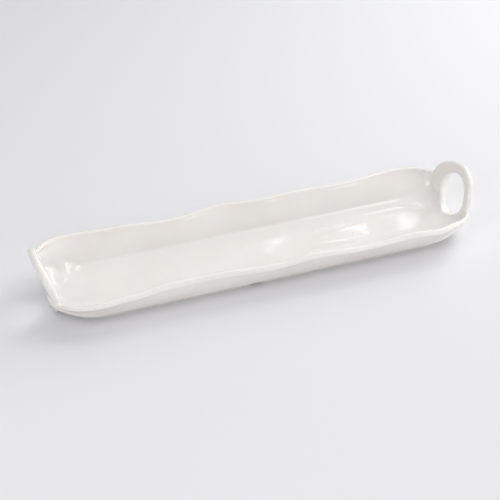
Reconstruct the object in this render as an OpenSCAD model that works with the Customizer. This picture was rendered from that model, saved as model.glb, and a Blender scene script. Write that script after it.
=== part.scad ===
// Cracker tray: a long, shallow trough of glazed ceramic with a hand-pressed wavy rim and a ring
// handle rising from each end. Lengths are in millimetres and angles in degrees. The tray stands
// on its foot ring at z = 0, with +X towards the right-hand handle and +Y towards the far side.

/* [Trough] */
// Length of the flat underside
base_length = 327; // [260:1:380]
// Width of the flat underside
base_width = 61; // [54:1:80]
// Corner radius of the flat underside
base_corner_radius = 24; // [18:1:26]
// Height of the rim above the table, between crest and dip of the waves
rim_height = 31.5; // [28:0.5:38]
// Thickness of the floor and the walls
wall_thickness = 5.5; // [4:0.5:7]
// Outer radius where the underside turns up into a long side
side_heel_radius = 6; // [4:1:12]
// Outer radius where the underside sweeps up into an end, like a prow
end_heel_radius = 20; // [14:1:26]
// Width of the upward sweep of the floor beside a long side
dish_width = 18; // [12:1:22]
// Height of the crease where that sweep meets the long side, above the floor
dish_rise = 4; // [2:0.5:6]
// Inner radius where the floor turns up into the middle of an end
end_cove_radius = 12; // [8:1:18]
// Inner radius where the floor turns up into a corner
corner_cove_radius = 28; // [18:1:30]
// Outward lean of the long sides from upright
side_lean = 35.5; // [26:0.5:40]
// Outward lean of the ends and their handles from upright
end_lean = 14; // [10:0.5:24]

/* [Rim] */
// Rise or fall of a full wave of the rim
wave_rise = 2; // [0:0.1:3]
// Sideways sway of a full wave of the rim
wave_sway = 2.6; // [0:0.1:4]
// How far the fullest corner of the rim is drawn out
corner_pull = 9.5; // [0:0.5:11]

/* [Handles] */
// Radius of the finger hole
hole_radius = 18; // [14:0.5:20]
// Height of the finger hole's lower edge above the floor of the trough
hole_rise = 1; // [0.5:0.5:5]
// Width of the handle's band around the hole
handle_band = 9.5; // [8:0.5:14]
// Thickness of the handle from face to face
handle_thickness = 6.5; // [5:0.5:9]
// Radius that rounds the edges of the handle
handle_edge_radius = 2.4; // [1:0.1:2.4]
// Depth of the handle's feet below the rim
seat_depth = 10; // [8:0.5:12]
// Height over which the end wall flattens into the tab that carries the handle
tab_rise = 12; // [8:1:18]
// Stretch beyond the handle over which the tab turns into the corner
tab_blend = 10; // [6:1:14]
// Slip joint around the outside of the handle's feet
slip_gap = 0.3; // [0.1:0.1:0.5]

/* [Foot] */
// Height of the foot ring
foot_height = 3; // [2:0.1:4]
// Width of the foot ring's band
foot_width = 5; // [4:0.5:6]
// Step from the edge of the flat underside in to the foot ring
foot_inset = 0.5; // [0.5:0.5:4]
// Width of the drain notch through the near side of the foot ring
notch_width = 10; // [6:1:16]
// Place of the drain notch along the tray
notch_place = -15; // [-60:1:60]

/* [Hidden] */
$fn = 96;

glaze_white = "#f3f0ea";
biscuit_white = "#e4dccf";

// Crests (positive) and dips of the rim on each long side, as shares of a full wave, from the
// left end of the underside (-1) to its right end (1)
near_wave = [
    [-1, -3.2], [-0.81, -0.6], [-0.54, 0.95], [-0.38, 0.9], [0, -0.35],
    [0.18, 0.45], [0.48, -0.75], [0.72, 0.15], [1, -3]
];
far_wave = [
    [-1, 0.3], [-0.68, -0.2], [-0.38, -1], [-0.11, 0.15], [0.12, -0.5],
    [0.35, -0.2], [0.58, -0.5], [1, 0.5]
];
// Shares of the corner pull: near left, near right, far left, far right
corner_shares = [1, 0.15, 0.9, 0.6];

// Steps of the loft around the plan and across the section
side_steps = 30;
corner_steps = 8;
end_steps = 8;
heel_steps = 6;
wall_steps = 4;
lip_steps = 7;
sweep_steps = 6;

half_wall = wall_thickness / 2;
corner_x = base_length / 2 - base_corner_radius;
corner_y = base_width / 2 - base_corner_radius;
floor_height = foot_height + wall_thickness;
handle_radius = hole_radius + handle_band;
handle_height = floor_height + hole_rise + hole_radius * cos(end_lean);
handle_reach = base_length / 2 + middle_of_wall(end_heel_radius, end_lean, handle_height);
// Height of the handle's feet above the hole's centre, along the lean, and their angle from there
seat_height = (rim_height - seat_depth - handle_height) / cos(end_lean);
foot_angle = asin(seat_height / (hole_radius + handle_band / 2));
// Length of a cutter that passes through an end wall
cut_length = 8 * wall_thickness;

// Distance of the outer wall face from the edge of the underside, at height z
function outer_face(heel, lean, z) =
    heel * cos(lean) + (z - foot_height - heel * (1 - sin(lean))) * tan(lean);
function middle_of_wall(heel, lean, z) = outer_face(heel, lean, z) - half_wall / cos(lean);

function mix(a, b, share) = a + (b - a) * share;
function ease(share) = (1 - cos(180 * share)) / 2;
function share_of(part, whole) = max(0, min(1, part / whole));
function arc(centre, radius, from, to, steps) =
    [for (i = [0 : steps]) let (a = mix(from, to, i / steps)) centre + radius * [cos(a), sin(a)]];
// Points strictly between two ends of a straight stretch
function between(a, b, steps) = [for (i = [1 : steps - 1]) mix(a, b, i / steps)];

// Share of a full wave at a place along the tray, easing from each crest or dip to the next
function wave_at(waves, along) =
    let (
        place = lookup(along, [for (i = [0 : len(waves) - 1]) [waves[i][0], i]]),
        i = min(floor(place), len(waves) - 2)
    )
    mix(waves[i][1], waves[i + 1][1], ease(place - i));

// Stations around the edge of the underside, each a point and the direction that it faces.
// One half runs along the near side and round the right end, and the other half is its mirror.
half_stations = concat(
    [for (i = [0 : side_steps - 1]) [[mix(-corner_x, corner_x, i / side_steps), -base_width / 2], -90]],
    [for (i = [0 : corner_steps - 1]) corner_station([corner_x, -corner_y], -90 + 90 * i / corner_steps)],
    [for (i = [0 : end_steps - 1]) [[base_length / 2, mix(-corner_y, corner_y, i / end_steps)], 0]],
    [for (i = [0 : corner_steps - 1]) corner_station([corner_x, corner_y], 90 * i / corner_steps)]
);
stations = concat(half_stations, [for (s = half_stations) [-s[0], s[1] + 180]]);
function corner_station(centre, facing) =
    [centre + base_corner_radius * [cos(facing), sin(facing)], facing];

// Waves at a station: rise of the rim and its outward sway, which fades out on the ends
function far_share(at) = ease((at.y * 2 / base_width + 1) / 2);
function along_share(at) = at.x * 2 / base_length;
function rim_rise(at) =
    wave_rise * mix(wave_at(near_wave, along_share(at)), wave_at(far_wave, along_share(at)), far_share(at));
function rim_sway(at, facing) =
    wave_sway * pow(sin(facing), 2)
    * mix(-wave_at(near_wave, along_share(at)), wave_at(far_wave, along_share(at)), far_share(at));
function rim_pull(at, facing) =
    corner_pull * pow(sin(2 * facing), 2) * corner_shares[(at.x > 0 ? 1 : 0) + (at.y > 0 ? 2 : 0)];

// Push of a wall point at height z along the tray, which flattens the middle of an end into a tab
function tab_push(at, facing, heel, lean, y, z) =
    let (
        flat = base_length / 2 + outer_face(end_heel_radius, end_lean, z),
        here = abs(at.x) + outer_face(heel, lean, z) * abs(cos(facing)),
        beside = share_of(abs(y) - handle_radius, tab_blend),
        up = share_of(z - floor_height, tab_rise)
    )
    sign(at.x) * (flat - here) * pow(cos(facing), 2) * (1 - ease(beside)) * ease(up);

// Sweep of the floor up to the wall's inner face, from the face down: a dish that meets a long side in
// a crease, and turns into a round cove towards an end
function floor_sweep(heel, cove, lean, end_share) =
    let (
        crease = outer_face(heel, lean, floor_height + dish_rise) - wall_thickness / cos(lean),
        turn = [(heel - cove - wall_thickness) * tan(45 - lean / 2), floor_height + cove],
        cove_points = arc(turn, cove, -lean, -90, sweep_steps)
    )
    [for (i = [0 : sweep_steps])
        let (
            up = 1 - i / sweep_steps,
            dish = [crease - dish_width * (1 - up), floor_height + dish_rise * pow(up, 2)]
        )
        mix(dish, cove_points[i], end_share)];

// Section of the wall at a station: heel, outer face, rolled lip, inner face and floor sweep, as
// distances outward from the edge of the underside and heights
function wall_section(heel, lean, top, sweep) =
    let (
        outside = [cos(lean), -sin(lean)],
        heel_turn = [0, foot_height + heel],
        lip = [middle_of_wall(heel, lean, top - half_wall), top - half_wall]
    )
    concat(
        arc(heel_turn, heel, -90, -lean, heel_steps),
        between(heel_turn + heel * outside, lip + half_wall * outside, wall_steps),
        arc(lip, half_wall, -lean, 180 - lean, lip_steps),
        between(lip - half_wall * outside, sweep[0], wall_steps),
        sweep
    );

// Ring of points at one station, with the wall bent outward or inward by the waves of the rim
function station_points(station) =
    let (
        at = station[0],
        facing = station[1],
        end_share = 1 - pow(sin(facing), 4),
        heel = mix(side_heel_radius, end_heel_radius, end_share),
        cove = mix(end_cove_radius, corner_cove_radius, pow(sin(2 * facing), 2)),
        lean = mix(side_lean, end_lean, end_share),
        bend = rim_sway(at, facing) + rim_pull(at, facing),
        sweep = floor_sweep(heel, cove, lean, end_share)
    )
    [for (p = wall_section(heel, lean, rim_height + rim_rise(at), sweep))
        let (
            out = p[0] + bend * pow((p[1] - foot_height) / (rim_height - foot_height), 2),
            y = at.y + out * sin(facing)
        )
        [at.x + out * cos(facing) + tab_push(at, facing, heel, lean, y, p[1]), y, p[1]]];

// Trough before the handles' notches are cut: the wall section lofted round the underside
module trough() {
    rings = [for (s = stations) station_points(s)];
    around = len(rings);
    across = len(rings[0]);
    walls = [for (i = [0 : around - 1], j = [0 : across - 2])
        let (a = i * across + j, b = ((i + 1) % around) * across + j)
        each [[a, a + 1, b + 1], [a, b + 1, b]]];
    // Underside and floor are fans around a middle point each
    fans = [for (i = [0 : around - 1])
        let (a = i * across, b = ((i + 1) % around) * across)
        each [[a, b, around * across], [b + across - 1, a + across - 1, around * across + 1]]];
    points = concat([for (r = rings) each r], [[0, 0, foot_height], [0, 0, floor_height]]);
    polyhedron(points, concat(walls, fans), convexity = 6);
}

// Places a shape drawn flat around the finger hole's centre on the leaning right-hand end
module on_right_end() {
    translate([handle_reach, 0, handle_height]) rotate([0, end_lean, 0]) rotate([90, 0, 90]) children();
}

// Part of a ring between the handle's two feet, turned from a section
module handle_sweep() {
    rotate([0, 0, foot_angle]) rotate_extrude(angle = 180 - 2 * foot_angle) children();
}

// Notch in an end wall: the finger hole, and the seat of the handle's arch
module end_notch() {
    cylinder(r = hole_radius, h = cut_length, center = true);
    handle_sweep() translate([0, -cut_length / 2]) square([handle_radius + slip_gap, cut_length]);
}

// Section of the handle with rounded edges, beside the axis of the finger hole
module handle_section() {
    inner = hole_radius + handle_edge_radius;
    outer = handle_radius - handle_edge_radius;
    flat = handle_thickness / 2 - handle_edge_radius;
    translate([hole_radius, -flat]) square([handle_band, 2 * flat]);
    translate([inner, -handle_thickness / 2]) square([outer - inner, handle_thickness]);
    for (x = [inner, outer], y = [-flat, flat])
        translate([x, y]) circle(r = handle_edge_radius);
}

module tray_body() {
    color(glaze_white)
    difference() {
        trough();
        on_right_end() end_notch();
        mirror([1, 0, 0]) on_right_end() end_notch();
    }
}

module right_handle() {
    color(glaze_white) on_right_end() handle_sweep() handle_section();
}

module left_handle() {
    color(glaze_white) mirror([1, 0, 0]) on_right_end() handle_sweep() handle_section();
}

// Rectangle of the underside's outline, stepped in, with rounded corners
module underside_outline(step) {
    radius = max(1, base_corner_radius - step);
    length = base_length - 2 * step;
    width = base_width - 2 * step;
    square([length - 2 * radius, width], center = true);
    square([length, width - 2 * radius], center = true);
    for (x = [-1, 1], y = [-1, 1])
        translate([x * (length / 2 - radius), y * (width / 2 - radius)]) circle(r = radius);
}

module foot_ring() {
    color(biscuit_white)
    linear_extrude(height = foot_height)
    difference() {
        underside_outline(foot_inset);
        underside_outline(foot_inset + foot_width);
        translate([notch_place, -base_width / 2 + foot_inset + foot_width / 2])
            square([notch_width, 2 * foot_width], center = true);
    }
}

tray_body();
left_handle();
right_handle();
foot_ring();
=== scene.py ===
"""Looks of a ceramic cracker tray, laid out as a Blender add-on and run as a script.

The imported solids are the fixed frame. One glazed skin stands for the trough and both handles,
because slip and glaze leave no seam between them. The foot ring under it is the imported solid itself,
finished as unglazed clay.
"""

import math

import bpy
import numpy as np
from bpy.props import FloatProperty, FloatVectorProperty, IntProperty, PointerProperty, StringProperty
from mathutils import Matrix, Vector


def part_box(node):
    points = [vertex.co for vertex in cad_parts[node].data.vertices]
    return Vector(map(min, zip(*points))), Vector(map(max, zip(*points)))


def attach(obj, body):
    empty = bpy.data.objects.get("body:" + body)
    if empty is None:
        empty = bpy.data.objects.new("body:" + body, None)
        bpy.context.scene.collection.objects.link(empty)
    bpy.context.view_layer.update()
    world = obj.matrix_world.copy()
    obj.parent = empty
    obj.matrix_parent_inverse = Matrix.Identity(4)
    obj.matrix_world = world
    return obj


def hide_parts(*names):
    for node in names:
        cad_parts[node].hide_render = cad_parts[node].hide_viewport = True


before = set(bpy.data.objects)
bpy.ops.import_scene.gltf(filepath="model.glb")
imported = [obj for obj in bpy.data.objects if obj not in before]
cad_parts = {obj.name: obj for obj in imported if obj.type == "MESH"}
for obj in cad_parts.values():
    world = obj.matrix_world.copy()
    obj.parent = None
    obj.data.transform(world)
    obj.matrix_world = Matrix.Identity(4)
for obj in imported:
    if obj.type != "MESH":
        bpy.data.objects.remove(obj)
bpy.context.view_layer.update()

bl_info = {
    "name": "Cracker tray",
    "version": (1, 0, 0),
    "blender": (4, 5, 0),
    "location": "View3D > Sidebar > Tray",
    "description": "Glazed ceramic cracker tray with ring handles, on a plain studio floor",
    "category": "Object",
}

MM = 0.001
FOOT_LOW, FOOT_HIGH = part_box("foot_ring")

# Crests and dips along the rim: place from the left end of the underside, -1, to its right end, 1, and
# share of a full wave
NEAR_WAVE = ((-1, -3.2), (-0.81, -0.6), (-0.54, 0.95), (-0.38, 0.9), (0, -0.35),
             (0.18, 0.45), (0.48, -0.75), (0.72, 0.15), (0.9, -0.9), (1, -4.4))
FAR_WAVE = ((-1, 0.3), (-0.68, -0.2), (-0.38, -1), (-0.11, 0.15), (0.12, -0.5),
            (0.35, -0.2), (0.58, -0.5), (1, 0.5))
# Shares of the corner pull: near left, near right, far left, far right
CORNER_SHARES = np.array((0.9, 0.15, 0.9, 0.6))

# Points along each stretch of the wall's section
HEEL_STEPS, WALL_STEPS, LIP_STEPS, COVE_STEPS = 18, 16, 16, 24

# Crease inside each corner, in degrees from the way the end faces: its place at the floor and higher up,
# the width of its bottom, and how far it fades towards the end and towards the side
CREASE_LOW, CREASE_HIGH, CREASE_WIDTH = 37, 44, 1.5
CREASE_FADE_END, CREASE_FADE_SIDE = 14, 7
# Heights above the floor over which it drifts from one place to the other, and over which it starts
CREASE_DRIFT, CREASE_START = 12 * MM, 5 * MM

# Height over which the floor's swells turn into the wall's, and where these end below the rim
SWELL_TURN, SWELL_CLEAR, SWELL_FADE = 8 * MM, 8 * MM, 6 * MM

# Bumps of the right ring's band, in degrees from its far side: place and width of the flare and of the
# slim side. The left ring has them at the other side.
FLARE_PLACE, FLARE_WIDTH = 12, 34
SLIM_PLACE, SLIM_WIDTH = 180, 40
# How much the foot of a ring is thinner than the wall, the rise over which it comes to its full thickness
# as a share of its radius, and the largest edge radius as a share of half the thickness
RING_THIN, RING_RISE, RING_EDGE = 0.6 * MM, 0.7, 0.96
# Turns around a ring, in degrees, at which it runs into the rim and the end
RING_FEET = (-60, -40, -20, 0, 10, 170, 180, 200, 220, 240)
# Share of an end's bow that stands out in its middle; the rest lies in at the sides of the handle
BOW_OUT = 0.45
# Half the depth of a finger hole's cutter
HOLE_REACH = 14 * MM

# Sponging: share of the way to the mean of the neighbours, and the step back on the skin. At the feet of
# the rings there are more rounds and the step back is shorter, so that the joint fills.
SPONGE_STEP, SPONGE_BACK = 0.5, -0.53
FEET_ROUNDS, FEET_BACK = 3, -0.42

# Soft lamps that all face the tray: direction across from the right end and up in degrees, distance in m,
# width and height in m, power in W. The windows stand round the right end. The panes are small parts of
# windows, and their mirror images are the highlights in the glaze.
LAMPS = (
    ("window_low", 8, 10, 1, (0.42, 0.2), 0.55),
    ("window_back", 35, 26, 1.3, (0.5, 0.5), 2.5),
    ("window_high", 14, 50, 1.1, (0.6, 0.5), 2.45),
    ("window_front", -50, 5.5, 1.2, (0.9, 0.28), 3),
    ("top", 90, 76, 1.5, (0.8, 0.8), 1.1),
    ("top_bar", 20, 65, 1.5, (1, 0.08), 0.85),
    ("front_soft", 205, 34, 1.5, (0.3, 1.5), 3.7),
    ("front_strip", 250, 28, 1.5, (0.22, 0.6), 2.8),
    ("pane_a", 61.9, 32.7, 1.54, (0.12, 0.009), 0.021),
    ("pane_b", 56.8, 31.1, 1.58, (0.06, 0.005), 0.005),
    ("pane_c", 55.8, 31.9, 1.55, (0.035, 0.009), 0.0045),
    ("pane_d", 67.5, 34, 1.52, (0.05, 0.006), 0.006),
    ("pane_e", 46, 41.5, 1.5, (0.3, 0.1), 0.22),
    ("pane_f", 230, 44, 1.5, (0.04, 1), 1.6),
)
LAMP_AIM = Vector((0, 0, 20 * MM))
# Half a side of the floor in m, and the width of the camera's frame in mm
FLOOR_REACH = 4
SENSOR_WIDTH = 36


def length(name, words, default):
    """A length property in metres."""
    return FloatProperty(name=name, description=words, default=default, min=0, precision=4,
                         subtype="DISTANCE", unit="LENGTH")


def angle(name, words, degrees):
    """An angle property, given in degrees."""
    return FloatProperty(name=name, description=words, default=math.radians(degrees), subtype="ANGLE",
                         unit="ROTATION")


class TrayShape(bpy.types.PropertyGroup):
    """Sizes of the tray. Most are those of its solids. The dish is flatter than theirs, and the rounded
    edges, blends, creases and ripple are the skin's own."""

    base_length: length("Base length", "Length of the flat underside", 327 * MM)
    base_width: length("Base width", "Width of the flat underside", 61 * MM)
    base_corner: length("Base corner", "Corner radius of the flat underside", 24 * MM)
    foot_height: length("Foot height", "Height of the foot ring", FOOT_HIGH.z - FOOT_LOW.z)
    rim_height: length("Rim height", "Height of the rim between crest and dip", 31.5 * MM)
    wall: length("Wall", "Thickness of the floor and the walls", 5.5 * MM)
    side_heel: length("Side heel", "Outer radius below a long side", 6 * MM)
    end_heel: length("End heel", "Outer radius below an end", 20 * MM)
    dish_width: length("Dish width", "Width of the floor's upward sweep beside a long side", 18 * MM)
    dish_rise: length("Dish rise", "Height at which the sweep meets the long side in a crease", 2.6 * MM)
    end_cove: length("End cove", "Inner radius between floor and end, below the handle", 12 * MM)
    corner_cove: length("Corner cove", "Inner radius between floor and wall in the corners", 28 * MM)
    side_lean: angle("Side lean", "Outward lean of the long sides", 35.5)
    end_lean: angle("End lean", "Outward lean of the ends and handles", 14)
    wave_rise: length("Wave rise", "Rise or fall of a full wave of the rim", 2 * MM)
    wave_sway: length("Wave sway", "Sideways sway of a full wave of the rim", 2.6 * MM)
    corner_pull: length("Corner pull", "How far the fullest corner of the rim is drawn out", 9.5 * MM)
    hole_radius: length("Hole radius", "Radius of the finger hole", 18 * MM)
    hole_rise: length("Hole rise", "Height of the finger hole above the floor", 1 * MM)
    handle_band: length("Handle band", "Width of the handle's band around the hole", 9.5 * MM)
    handle_thickness: length("Handle thickness", "Thickness of the handle", 6.5 * MM)
    handle_edge: length("Handle edge", "Radius that rounds the handle's outer edges", 3 * MM)
    hole_edge: length("Hole edge", "Radius that rounds the handle's edges at its hole", 2 * MM)
    handle_flare: length("Handle flare", "How far the handle flares into the rim on one side", 7 * MM)
    handle_slim: length("Handle slim", "How much the handle narrows on its other side", 1.2 * MM)
    tab_rise: length("Tab rise", "Height over which the end flattens into the handle's tab", 12 * MM)
    tab_blend: length("Tab blend", "Stretch on the handle's far side that turns into the corner", 10 * MM)
    tab_near_blend: length("Tab near blend", "Stretch on the near side that turns into the corner", 14 * MM)
    tab_bow: length("Tab bow", "How far an end's middle stands out past the handle's sides", 2.4 * MM)
    bead: length("Bead", "How far the wall thins below the lip", 0.7 * MM)
    corner_hollow: length("Corner hollow", "Depth of the crease inside each corner", 3.4 * MM)
    ripple: length("Ripple", "Height of the slow unevenness that hand pressing leaves", 0.1 * MM)
    foot_blend: length("Foot blend", "Reach of the smoothing where a handle runs into the rim", 7 * MM)
    grain: length("Grain", "Spacing of the skin's mesh", 1.12 * MM)
    rounds: IntProperty(name="Rounds", description="Rounds of sponging that soften the skin", default=12,
                        min=0)


class TrayLook(bpy.types.PropertyGroup):
    """Colours of the fired clay and its glaze."""

    glaze: StringProperty(name="Glaze", description="Glaze over warm white clay, sRGB", default="F4F1EE")
    glaze_thin: StringProperty(name="Thin glaze", description="Glaze where it runs thin, sRGB",
                               default="F0ECE8")
    biscuit: StringProperty(name="Biscuit", description="Unglazed fired clay, sRGB", default="E5E2DE")
    grit: StringProperty(name="Grit", description="Darker grit in the unglazed clay, sRGB", default="D8D4CE")
    gloss: FloatProperty(name="Gloss roughness", description="Roughness of the fired glaze", default=0.05,
                         min=0, max=1, subtype="FACTOR")


class TrayStage(bpy.types.PropertyGroup):
    """Studio floor, lamps and camera."""

    floor: StringProperty(name="Floor", description="Colour of the studio floor, sRGB", default="ECECEF")
    level: FloatProperty(name="Level", description="Level of the soft lamps", default=1, min=0)
    sky: FloatProperty(name="Sky", description="Level of the bounced light at the windows", default=0.78,
                       min=0)
    sky_left: FloatProperty(name="Sky left", description="Level of the bounced light away from the windows",
                            default=0.16, min=0)
    sky_turn: angle("Sky turn", "Turn from the right end to the side on which the windows stand", 40)
    eye: FloatVectorProperty(name="Eye", description="Place of the camera", subtype="XYZ", unit="LENGTH",
                             default=(-0.3182, -0.8277, 0.6204))
    target: FloatVectorProperty(name="Target", description="Point that the camera faces", subtype="XYZ",
                                unit="LENGTH", default=(-0.001644, 0.018112, 0))
    lens: FloatProperty(name="Lens", description="Focal length for a frame 36 mm wide", default=92.1, min=1,
                        subtype="DISTANCE_CAMERA")


def ease(share):
    """Slow start and slow stop from 0 to 1."""
    return (1 - np.cos(np.pi * np.clip(share, 0, 1))) / 2


def mix(a, b, share):
    """Value at a share of the way from a to b."""
    return a + (b - a) * share


def wave_at(waves, along):
    """Share of a full wave at places along the tray, easing from each crest or dip to the next."""
    places, shares = np.array(waves).T
    i = np.clip(np.searchsorted(places, along, side="right") - 1, 0, len(places) - 2)
    return mix(shares[i], shares[i + 1], ease((along - places[i]) / (places[i + 1] - places[i])))


def outer_face(s, heel, lean, z):
    """Distance of the outer wall face from the edge of the underside, at height z."""
    return heel * np.cos(lean) + (z - s.foot_height - heel * (1 - np.sin(lean))) * np.tan(lean)


def arc(centre, radius, start, stop, steps):
    """Points on one arc for each station: arrays of outward distance and height."""
    turn = start + (stop - start) * np.linspace(0, 1, steps)
    return centre[0] + radius * np.cos(turn), centre[1] + radius * np.sin(turn)


def underside_stations(s, side_steps=240, corner_steps=44, end_steps=48):
    """Points around the edge of the underside and the directions that they face."""
    corner_x, corner_y = s.base_length / 2 - s.base_corner, s.base_width / 2 - s.base_corner
    sides = np.linspace(-corner_x, corner_x, side_steps, endpoint=False)
    ends = np.linspace(-corner_y, corner_y, end_steps, endpoint=False)
    turns = np.linspace(0, math.pi / 2, corner_steps, endpoint=False)
    places, facings = [], []
    for centre_y, first in ((-corner_y, -math.pi / 2), (corner_y, 0)):
        turn = first + turns
        if first:
            places.append(np.stack([sides, np.full(side_steps, -s.base_width / 2)], 1))
            facings.append(np.full(side_steps, first))
        else:
            places.append(np.stack([np.full(end_steps, s.base_length / 2), ends], 1))
            facings.append(np.zeros(end_steps))
        places.append(np.stack([corner_x + s.base_corner * np.cos(turn),
                                centre_y + s.base_corner * np.sin(turn)], 1))
        facings.append(turn)
    half, facing = np.vstack(places), np.concatenate(facings)
    return np.vstack([half, -half]), np.concatenate([facing, facing + math.pi])


def corner_crease(s, face_x, face_y, rise):
    """Depth, at a rise above the floor, of the crease where a long side turns into the flat end. It drifts
    towards the end as it runs down."""
    turned = np.degrees(np.arctan2(np.abs(face_y), np.abs(face_x)))
    aside = turned - mix(CREASE_LOW, CREASE_HIGH, ease(rise / CREASE_DRIFT))
    fade = np.where(aside < 0, CREASE_FADE_END, CREASE_FADE_SIDE)
    return s.corner_hollow * np.exp(-np.hypot(aside, CREASE_WIDTH) / fade) * ease(rise / CREASE_START)


def trough_points(s):
    """Rings of points across the wall at each station: heel, outer face, lip, inner face and cove."""
    at, facing = underside_stations(s)
    x, y = at.T[:, :, None]
    face_x, face_y = np.cos(facing)[:, None], np.sin(facing)[:, None]
    end_share, corner_share = 1 - face_y ** 4, (2 * face_x * face_y) ** 2
    heel = mix(s.side_heel, s.end_heel, end_share)
    lean = mix(s.side_lean, s.end_lean, end_share)

    along, far = x * 2 / s.base_length, ease((y * 2 / s.base_width + 1) / 2)
    near_share, far_share = wave_at(NEAR_WAVE, along), wave_at(FAR_WAVE, along)
    top = s.rim_height + s.wave_rise * mix(near_share, far_share, far)
    pull = CORNER_SHARES[(x > 0).astype(int) + 2 * (y > 0)]
    bend = (s.wave_sway * face_y ** 2 * mix(-near_share, far_share, far)
            + s.corner_pull * corner_share * pull)

    half = s.wall / 2
    floor = s.foot_height + s.wall
    outside = np.cos(lean), -np.sin(lean)
    heel_turn = 0, s.foot_height + heel
    round_cove = mix(s.end_cove, s.corner_cove, corner_share)
    cove_turn = (heel - round_cove - s.wall) * np.tan(math.pi / 4 - lean / 2), floor + round_cove
    lip = outer_face(s, heel, lean, top - half) - half / np.cos(lean), top - half
    down, over = np.full_like(lean, -math.pi / 2), math.pi - lean
    stretch = np.linspace(0, 1, WALL_STEPS + 2)[1:-1]
    # The floor sweeps up to a crease at the sides, and rounds into a cove at the ends
    sweep = np.linspace(1, 0, COVE_STEPS)
    crease = outer_face(s, heel, lean, floor + s.dish_rise) - s.wall / np.cos(lean)
    cove = arc(cove_turn, round_cove, -lean, down, COVE_STEPS)
    foot = (mix(crease - s.dish_width * (1 - sweep), cove[0], end_share),
            mix(floor + s.dish_rise * sweep ** 2, cove[1], end_share))
    # The wall thins a little below the lip, which leaves the lip as a soft bead
    waist = s.bead * np.sin(math.pi * np.sqrt(stretch)) ** 2
    outer = [mix(heel_turn[i] + heel * outside[i], lip[i] + half * outside[i], stretch) for i in (0, 1)]
    inner = [mix(lip[i] - half * outside[i], foot[i][:, :1], stretch) for i in (0, 1)]
    rows = [
        arc(heel_turn, heel, down, -lean, HEEL_STEPS),
        outer,
        arc(lip, half, -lean, over, LIP_STEPS),
        (inner[0] + waist * outside[0], inner[1] + waist * outside[1]),
        foot,
    ]
    out, z = (np.hstack([row[i] for row in rows]) for i in (0, 1))
    inside = np.arange(out.shape[1]) >= HEEL_STEPS + WALL_STEPS + LIP_STEPS

    out = out + corner_crease(s, face_x, face_y, z - floor) * inside
    out = out + bend * ((z - s.foot_height) / (s.rim_height - s.foot_height)) ** 2
    across = y + out * face_y
    # The ends flatten into the tabs that carry the handles
    flat = s.base_length / 2 + outer_face(s, s.end_heel, s.end_lean, z) + bow_at(s, across)
    here = np.abs(x) + outer_face(s, heel, lean, z) * np.abs(face_x)
    blend = np.where(across < 0, s.tab_near_blend, s.tab_blend)
    past = (np.abs(across) - s.hole_radius - s.handle_band) / blend
    push = np.sign(x) * (flat - here) * face_x ** 2 * (1 - ease(past)) * ease((z - floor) / s.tab_rise)
    points = np.stack([x + out * face_x + push, across, z], 2)
    return uneven(s, points, inside)


def uneven(s, points, inside):
    """Adds the slow swells of the pressed clay: up and down on the floor, in and out on the inner walls."""
    x, y, z = points[..., 0] / MM, points[..., 1] / MM, points[..., 2]
    # Three swells that cross at slants, 50 to 130 mm from crest to crest along the tray
    swell = (np.sin(x / 13 + 0.8 * np.sin(y / 11)) + np.sin(x / 21 + y / 14 + 2)
             + 0.6 * np.sin(x / 8.5 - y / 17 + 4)) * s.ripple / 2
    above = ease((z - s.foot_height - s.wall) / SWELL_TURN)
    below_rim = 1 - ease((z - s.rim_height + SWELL_CLEAR) / SWELL_FADE)
    points[..., 2] += swell * (1 - above) * inside
    points[..., 1] += swell * above * below_rim * inside * np.sign(y)
    return points


def closed_grid(rings):
    """Quads of a grid of points that closes on itself both ways."""
    around, across = rings.shape[:2]
    i, j = np.meshgrid(np.arange(around), np.arange(across), indexing="ij")
    k, m = (i + 1) % around, (j + 1) % across
    quads = np.stack([i * across + j, k * across + j, k * across + m, i * across + m], 2)
    return rings.reshape(-1, 3), quads.reshape(-1, 4)


def trough_mesh(s):
    """Closed mesh of the trough: its walls, and the underside and floor as fans round a middle point."""
    rings = trough_points(s)
    around, across = rings.shape[:2]
    points, quads = closed_grid(rings)
    quads = quads[quads[:, 3] % across != 0]
    edge = np.arange(around) * across
    after = np.roll(edge, -1)
    middle = np.full(around, len(points))
    fans = np.vstack([np.stack([after, edge, middle], 1),
                      np.stack([edge + across - 1, after + across - 1, middle + 1], 1)])
    points = np.vstack([points, [[0, 0, s.foot_height], [0, 0, s.foot_height + s.wall]]])
    return points, quads.tolist() + fans.tolist()


def handle_frame(s, side):
    """Centre of a finger hole, and the directions up its lean and outward along its axis."""
    height = s.foot_height + s.wall + s.hole_rise + s.hole_radius * math.cos(s.end_lean)
    reach = (s.base_length / 2 + outer_face(s, s.end_heel, s.end_lean, height)
             - s.wall / 2 / math.cos(s.end_lean))
    centre = np.array((side * reach, 0, height))
    up = np.array((side * math.sin(s.end_lean), 0, math.cos(s.end_lean)))
    out = np.array((side * math.cos(s.end_lean), 0, -math.sin(s.end_lean)))
    return centre, up, out


def bow_at(s, across):
    """Outward bow of an end at places across it."""
    return s.tab_bow * (BOW_OUT - (across / (s.hole_radius + s.handle_band)) ** 2)


def on_end(s, side, radius, turn, depth):
    """Points at a radius and turn around a finger hole, and a depth along its axis, bowed with the end."""
    centre, up, out = handle_frame(s, side)
    across = radius * np.cos(turn)
    bow = np.stack([side * bow_at(s, across), across, 0 * across], -1)
    return centre + bow + (radius * np.sin(turn))[..., None] * up + depth[..., None] * out


def bump_at(side, turn, place, width):
    """Smooth bump around a ring: 1 at its place, fading over its width, mirrored on the left ring."""
    toward = np.degrees(np.arctan2(np.sin(turn), np.cos(turn)))
    away = np.abs(toward - (place if side > 0 else 180 - place))
    return np.exp(-(np.minimum(away, 360 - away) / width) ** 2)


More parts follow.
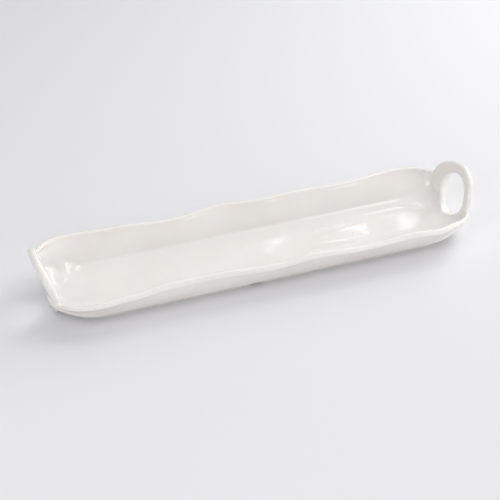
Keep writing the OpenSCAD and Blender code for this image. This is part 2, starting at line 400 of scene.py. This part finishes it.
def handle_mesh(s, side, steps=144, edge_steps=8):
    """Closed ring around a finger hole. It thins towards its foot and flares where it meets the rim."""
    turn = np.linspace(0, 2 * math.pi, steps, endpoint=False)[:, None]
    rise = ease(np.sin(turn) / RING_RISE + 0.5)
    thick = mix(s.wall - RING_THIN, s.handle_thickness, rise) / 2
    band = (s.handle_band + s.handle_flare * bump_at(side, turn, FLARE_PLACE, FLARE_WIDTH)
            - s.handle_slim * bump_at(side, turn, SLIM_PLACE, SLIM_WIDTH))
    quarter = np.linspace(0, math.pi / 2, edge_steps)
    outer_edge, hole_edge = (np.minimum(edge, thick * RING_EDGE) for edge in (s.handle_edge, s.hole_edge))
    radius, depth = [], []
    for corner, (r_sign, d_sign) in enumerate(((1, -1), (1, 1), (-1, 1), (-1, -1))):
        swing = quarter + math.pi / 2 * (corner - 1)
        edge = outer_edge if r_sign > 0 else hole_edge
        middle = s.hole_radius + (band - edge if r_sign > 0 else edge)
        radius.append(middle + edge * np.cos(swing))
        depth.append(d_sign * (thick - edge) + edge * np.sin(swing))
    radius, depth = np.hstack(radius), np.hstack(depth)
    points, quads = closed_grid(on_end(s, side, radius, turn + 0 * radius, depth))
    return points, (quads if side > 0 else quads[:, ::-1]).tolist()


def hole_mesh(s, side, steps=144):
    """Round cutter of a finger hole."""
    turn = np.linspace(0, 2 * math.pi, steps, endpoint=False)[:, None]
    radius = np.array([0, 1, 1, 0]) * s.hole_radius + 0 * turn
    depth = np.array([-1, -1, 1, 1]) * HOLE_REACH + 0 * turn
    points, quads = closed_grid(on_end(s, side, radius, turn + 0 * radius, depth))
    quads = quads[quads[:, 3] % 4 != 0]
    return points, (quads if side > 0 else quads[:, ::-1]).tolist()


def new_piece(name, points, faces):
    """A mesh object in the scene."""
    mesh = bpy.data.meshes.new(name)
    mesh.from_pydata(np.asarray(points).tolist(), [], faces)
    mesh.validate()
    mesh.update()
    piece = bpy.data.objects.new(name, mesh)
    bpy.context.scene.collection.objects.link(piece)
    return piece


def settle(piece):
    """Makes what the modifiers show the piece's own mesh."""
    graph = bpy.context.evaluated_depsgraph_get()
    mesh = bpy.data.meshes.new_from_object(piece.evaluated_get(graph))
    piece.modifiers.clear()
    old, piece.data = piece.data, mesh
    bpy.data.meshes.remove(old)
    mesh.name = piece.name


def cut(piece, cutter):
    """Takes the cutter out of the piece and drops the cutter."""
    tool = piece.modifiers.new("cut", "BOOLEAN")
    tool.operation = "DIFFERENCE"
    tool.solver = "EXACT"
    tool.object = cutter
    settle(piece)
    bpy.data.objects.remove(cutter)


def points_of(mesh):
    """Places of a mesh's points."""
    points = np.empty(len(mesh.vertices) * 3)
    mesh.vertices.foreach_get("co", points)
    return points.reshape(-1, 3)


def sponge(mesh, rounds, back=SPONGE_BACK, weight=1):
    """Softens a mesh as a damp sponge softens clay: each point moves towards the mean of its neighbours,
    and then a step back, so that thin lips keep their thickness."""
    points = points_of(mesh)
    ends = np.empty(len(mesh.edges) * 2, dtype=np.int32)
    mesh.edges.foreach_get("vertices", ends)
    a, b = ends.reshape(-1, 2).T
    here, there = np.concatenate([a, b]), np.concatenate([b, a])
    count = np.bincount(here, minlength=len(points))[:, None]
    for step in [SPONGE_STEP, back] * rounds:
        mean = np.stack([np.bincount(here, points[there, i], len(points)) for i in range(3)], 1) / count
        points = points + step * (mean - points) * weight
    mesh.vertices.foreach_set("co", points.ravel())
    mesh.update()


def near_feet(s, mesh):
    """Weight of each point by its nearness to the places where the handles run into the rim and the ends."""
    points = points_of(mesh)
    weight = np.zeros((len(points), 1))
    turn = np.radians(RING_FEET)
    radius = np.full_like(turn, s.hole_radius + s.handle_band)
    depth = np.full_like(turn, -s.wall / 2)
    for side in (-1, 1):
        for foot in on_end(s, side, radius, turn, depth):
            away = np.linalg.norm(points - foot, axis=1, keepdims=True)
            weight = np.maximum(weight, np.exp(-(away / s.foot_blend) ** 2))
    return weight


def linear(text):
    """Linear RGBA of an sRGB hex colour."""
    parts = (int(text[i:i + 2], 16) / 255 for i in (0, 2, 4))
    return [c / 12.92 if c <= 0.04045 else ((c + 0.055) / 1.055) ** 2.4 for c in parts] + [1]


def add_node(tree, kind, settings=(), values=(), links=()):
    """Adds a node, sets its settings and socket values, and links sockets to it."""
    node = tree.nodes.new(kind)
    for name, value in dict(settings).items():
        setattr(node, name, value)
    for name, value in dict(values).items():
        node.inputs[name].default_value = value
    for name, socket in dict(links).items():
        tree.links.new(socket, node.inputs[name])
    return node


def new_material(name):
    """An empty material and its node tree."""
    material = bpy.data.materials.new(name)
    material.use_nodes = True
    material.node_tree.nodes.clear()
    return material, material.node_tree


def glazed_stoneware(look):
    """Clear gloss glaze fired over warm white clay: glassy, with soft pools and a faint orange-peel skin."""
    material, tree = new_material("glazed_stoneware")
    where = add_node(tree, "ShaderNodeTexCoord").outputs["Object"]
    # Pools of thicker and thinner glaze, about 40 mm across
    pools = add_node(tree, "ShaderNodeTexNoise", values={"Scale": 1 / (40 * MM), "Detail": 2},
                     links={"Vector": where})
    spread = add_node(tree, "ShaderNodeMapRange", values={"From Min": 0.35, "From Max": 0.7},
                      links={"Value": pools.outputs["Fac"]})
    colour = add_node(tree, "ShaderNodeMix", {"data_type": "RGBA"},
                      {"A": linear(look.glaze), "B": linear(look.glaze_thin)},
                      {"Factor": spread.outputs["Result"]})
    # Slow run of the glaze over the sponged clay, about 18 mm from swell to swell
    swell = add_node(tree, "ShaderNodeTexNoise", values={"Scale": 1 / (18 * MM), "Detail": 1},
                     links={"Vector": where})
    bump = add_node(tree, "ShaderNodeBump", values={"Strength": 0.25, "Distance": 0.4 * MM},
                    links={"Height": swell.outputs["Fac"]})
    shader = add_node(tree, "ShaderNodeBsdfPrincipled",
                      values={"Roughness": look.gloss, "IOR": 1.52, "Subsurface Weight": 0.25,
                              "Subsurface Radius": (1, 0.8, 0.6), "Subsurface Scale": 3 * MM},
                      links={"Base Color": colour.outputs["Result"], "Normal": bump.outputs["Normal"]})
    add_node(tree, "ShaderNodeOutputMaterial", links={"Surface": shader.outputs["BSDF"]})
    return material


def biscuit_clay(look):
    """Unglazed fired clay, wiped clean for the kiln shelf: matte, with a fine grit."""
    material, tree = new_material("biscuit_clay")
    where = add_node(tree, "ShaderNodeTexCoord").outputs["Object"]
    # Grit of 0.8 mm, drawn coarser than real grog so that it shows
    grit = add_node(tree, "ShaderNodeTexNoise", values={"Scale": 1 / (0.8 * MM), "Detail": 3},
                    links={"Vector": where})
    shade = add_node(tree, "ShaderNodeMix", {"data_type": "RGBA"},
                     {"A": linear(look.biscuit), "B": linear(look.grit)}, {"Factor": grit.outputs["Fac"]})
    bump = add_node(tree, "ShaderNodeBump", values={"Strength": 0.4, "Distance": 0.1 * MM},
                    links={"Height": grit.outputs["Fac"]})
    shader = add_node(tree, "ShaderNodeBsdfPrincipled", values={"Roughness": 0.85, "IOR": 1.5},
                      links={"Base Color": shade.outputs["Result"], "Normal": bump.outputs["Normal"]})
    add_node(tree, "ShaderNodeOutputMaterial", links={"Surface": shader.outputs["BSDF"]})
    return material


def paper(stage):
    """Pale uncoated paper under the tray: matte and plain, so that only the soft shadow shows on it."""
    material, tree = new_material("paper_floor")
    shader = add_node(tree, "ShaderNodeBsdfDiffuse", values={"Color": linear(stage.floor)})
    add_node(tree, "ShaderNodeOutputMaterial", links={"Surface": shader.outputs["BSDF"]})
    return material


def bounced_light(stage):
    """A world of bounced light that is brighter on the side of the windows."""
    world = bpy.data.worlds.new("studio")
    world.use_nodes = True
    tree = world.node_tree
    tree.nodes.clear()
    where = add_node(tree, "ShaderNodeTexCoord").outputs["Generated"]
    turned = add_node(tree, "ShaderNodeMapping", values={"Rotation": (0, 0, -stage.sky_turn)},
                      links={"Vector": where})
    axes = add_node(tree, "ShaderNodeSeparateXYZ", links={"Vector": turned.outputs["Vector"]})
    strength = add_node(tree, "ShaderNodeMapRange",
                        values={"From Min": -1, "From Max": 1, "To Min": stage.sky_left, "To Max": stage.sky},
                        links={"Value": axes.outputs["X"]})
    light = add_node(tree, "ShaderNodeBackground", values={"Color": linear("FFFFFF")},
                     links={"Strength": strength.outputs["Result"]})
    add_node(tree, "ShaderNodeOutputWorld", links={"Surface": light.outputs["Background"]})
    return world


def add_lamp(name, across, up, away, size, power):
    """A soft box lamp that faces the tray."""
    light = bpy.data.lights.new(name, "AREA")
    light.shape = "RECTANGLE"
    light.size, light.size_y = size
    light.energy = power
    lamp = bpy.data.objects.new(name, light)
    across, up = math.radians(across), math.radians(up)
    place = Vector((math.cos(across) * math.cos(up), math.sin(across) * math.cos(up), math.sin(up))) * away
    face(lamp, place, LAMP_AIM)


def face(thing, place, target):
    """Puts a lamp or camera at a place in the scene, facing a target."""
    thing.location = place
    thing.rotation_euler = (target - place).to_track_quat("-Z", "Y").to_euler()
    bpy.context.scene.collection.objects.link(thing)


class TRAY_OT_skin(bpy.types.Operator):
    """Make the glazed trough and its two ring handles as one fused skin"""

    bl_idname = "tray.skin"
    bl_label = "Glazed trough and handles"

    def execute(self, context):
        s, look = context.scene.tray_shape, context.scene.tray_look
        piece = new_piece("glazed_tray", *trough_mesh(s))
        for side in (-1, 1):
            cut(piece, new_piece("finger_hole", *hole_mesh(s, side)))
        points = points_of(piece.data)
        faces = [list(p.vertices) for p in piece.data.polygons]
        for side in (-1, 1):
            ring, quads = handle_mesh(s, side)
            faces += (np.array(quads) + len(points)).tolist()
            points = np.vstack([points, ring])
        bpy.data.objects.remove(piece)
        piece = new_piece("glazed_tray", points, faces)
        fuse = piece.modifiers.new("fuse", "REMESH")
        fuse.mode = "VOXEL"
        fuse.voxel_size = s.grain
        fuse.adaptivity = 0
        settle(piece)
        sponge(piece.data, s.rounds)
        sponge(piece.data, FEET_ROUNDS * s.rounds, FEET_BACK, near_feet(s, piece.data))
        piece.data.shade_smooth()
        piece.data.materials.append(glazed_stoneware(look))
        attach(piece, "root")
        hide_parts("tray_body", "left_handle", "right_handle")
        return {"FINISHED"}


class TRAY_OT_foot(bpy.types.Operator):
    """Finish the foot ring as unglazed clay"""

    bl_idname = "tray.foot"
    bl_label = "Unglazed foot"

    def execute(self, context):
        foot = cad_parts["foot_ring"]
        foot.data.materials.clear()
        foot.data.materials.append(biscuit_clay(context.scene.tray_look))
        return {"FINISHED"}


class TRAY_OT_stage(bpy.types.Operator):
    """Set up the pale floor, the soft lamps and the camera"""

    bl_idname = "tray.stage"
    bl_label = "Studio stage"

    def execute(self, context):
        scene, stage = context.scene, context.scene.tray_stage
        reach = FLOOR_REACH
        corners = [(-reach, -reach, 0), (reach, -reach, 0), (reach, reach, 0), (-reach, reach, 0)]
        floor = new_piece("floor", corners, [(0, 1, 2, 3)])
        floor.data.materials.append(paper(stage))

        scene.world = bounced_light(stage)
        for name, across, up, away, size, power in LAMPS:
            add_lamp(name, across, up, away, size, power * stage.level)

        camera = bpy.data.objects.new("camera", bpy.data.cameras.new("camera"))
        camera.data.sensor_width = SENSOR_WIDTH
        camera.data.lens = stage.lens
        camera.data.clip_start = 10 * MM
        face(camera, Vector(stage.eye), Vector(stage.target))
        scene.camera = camera
        scene.view_settings.view_transform = "Standard"
        return {"FINISHED"}


class TRAY_PT_sidebar(bpy.types.Panel):
    """Sizes, colours and pieces of the cracker tray"""

    bl_label = "Cracker tray"
    bl_idname = "TRAY_PT_sidebar"
    bl_space_type = "VIEW_3D"
    bl_region_type = "UI"
    bl_category = "Tray"

    def draw(self, context):
        for group in (context.scene.tray_shape, context.scene.tray_look, context.scene.tray_stage):
            box = self.layout.box()
            for name in group.__annotations__:
                box.prop(group, name)
        for piece in (TRAY_OT_skin, TRAY_OT_foot, TRAY_OT_stage):
            self.layout.operator(piece.bl_idname)


GROUPS = {"tray_shape": TrayShape, "tray_look": TrayLook, "tray_stage": TrayStage}
CLASSES = (*GROUPS.values(), TRAY_OT_skin, TRAY_OT_foot, TRAY_OT_stage, TRAY_PT_sidebar)


def register():
    """Adds the classes and their settings to Blender."""
    for cls in CLASSES:
        bpy.utils.register_class(cls)
    for name, group in GROUPS.items():
        setattr(bpy.types.Scene, name, PointerProperty(type=group))


def unregister():
    """Takes the settings and classes out again."""
    for name in GROUPS:
        delattr(bpy.types.Scene, name)
    for cls in reversed(CLASSES):
        bpy.utils.unregister_class(cls)


def main():
    """Builds the stage and the tray."""
    register()
    bpy.ops.tray.stage()
    bpy.ops.tray.skin()
    bpy.ops.tray.foot()


if __name__ == "__main__":
    main()
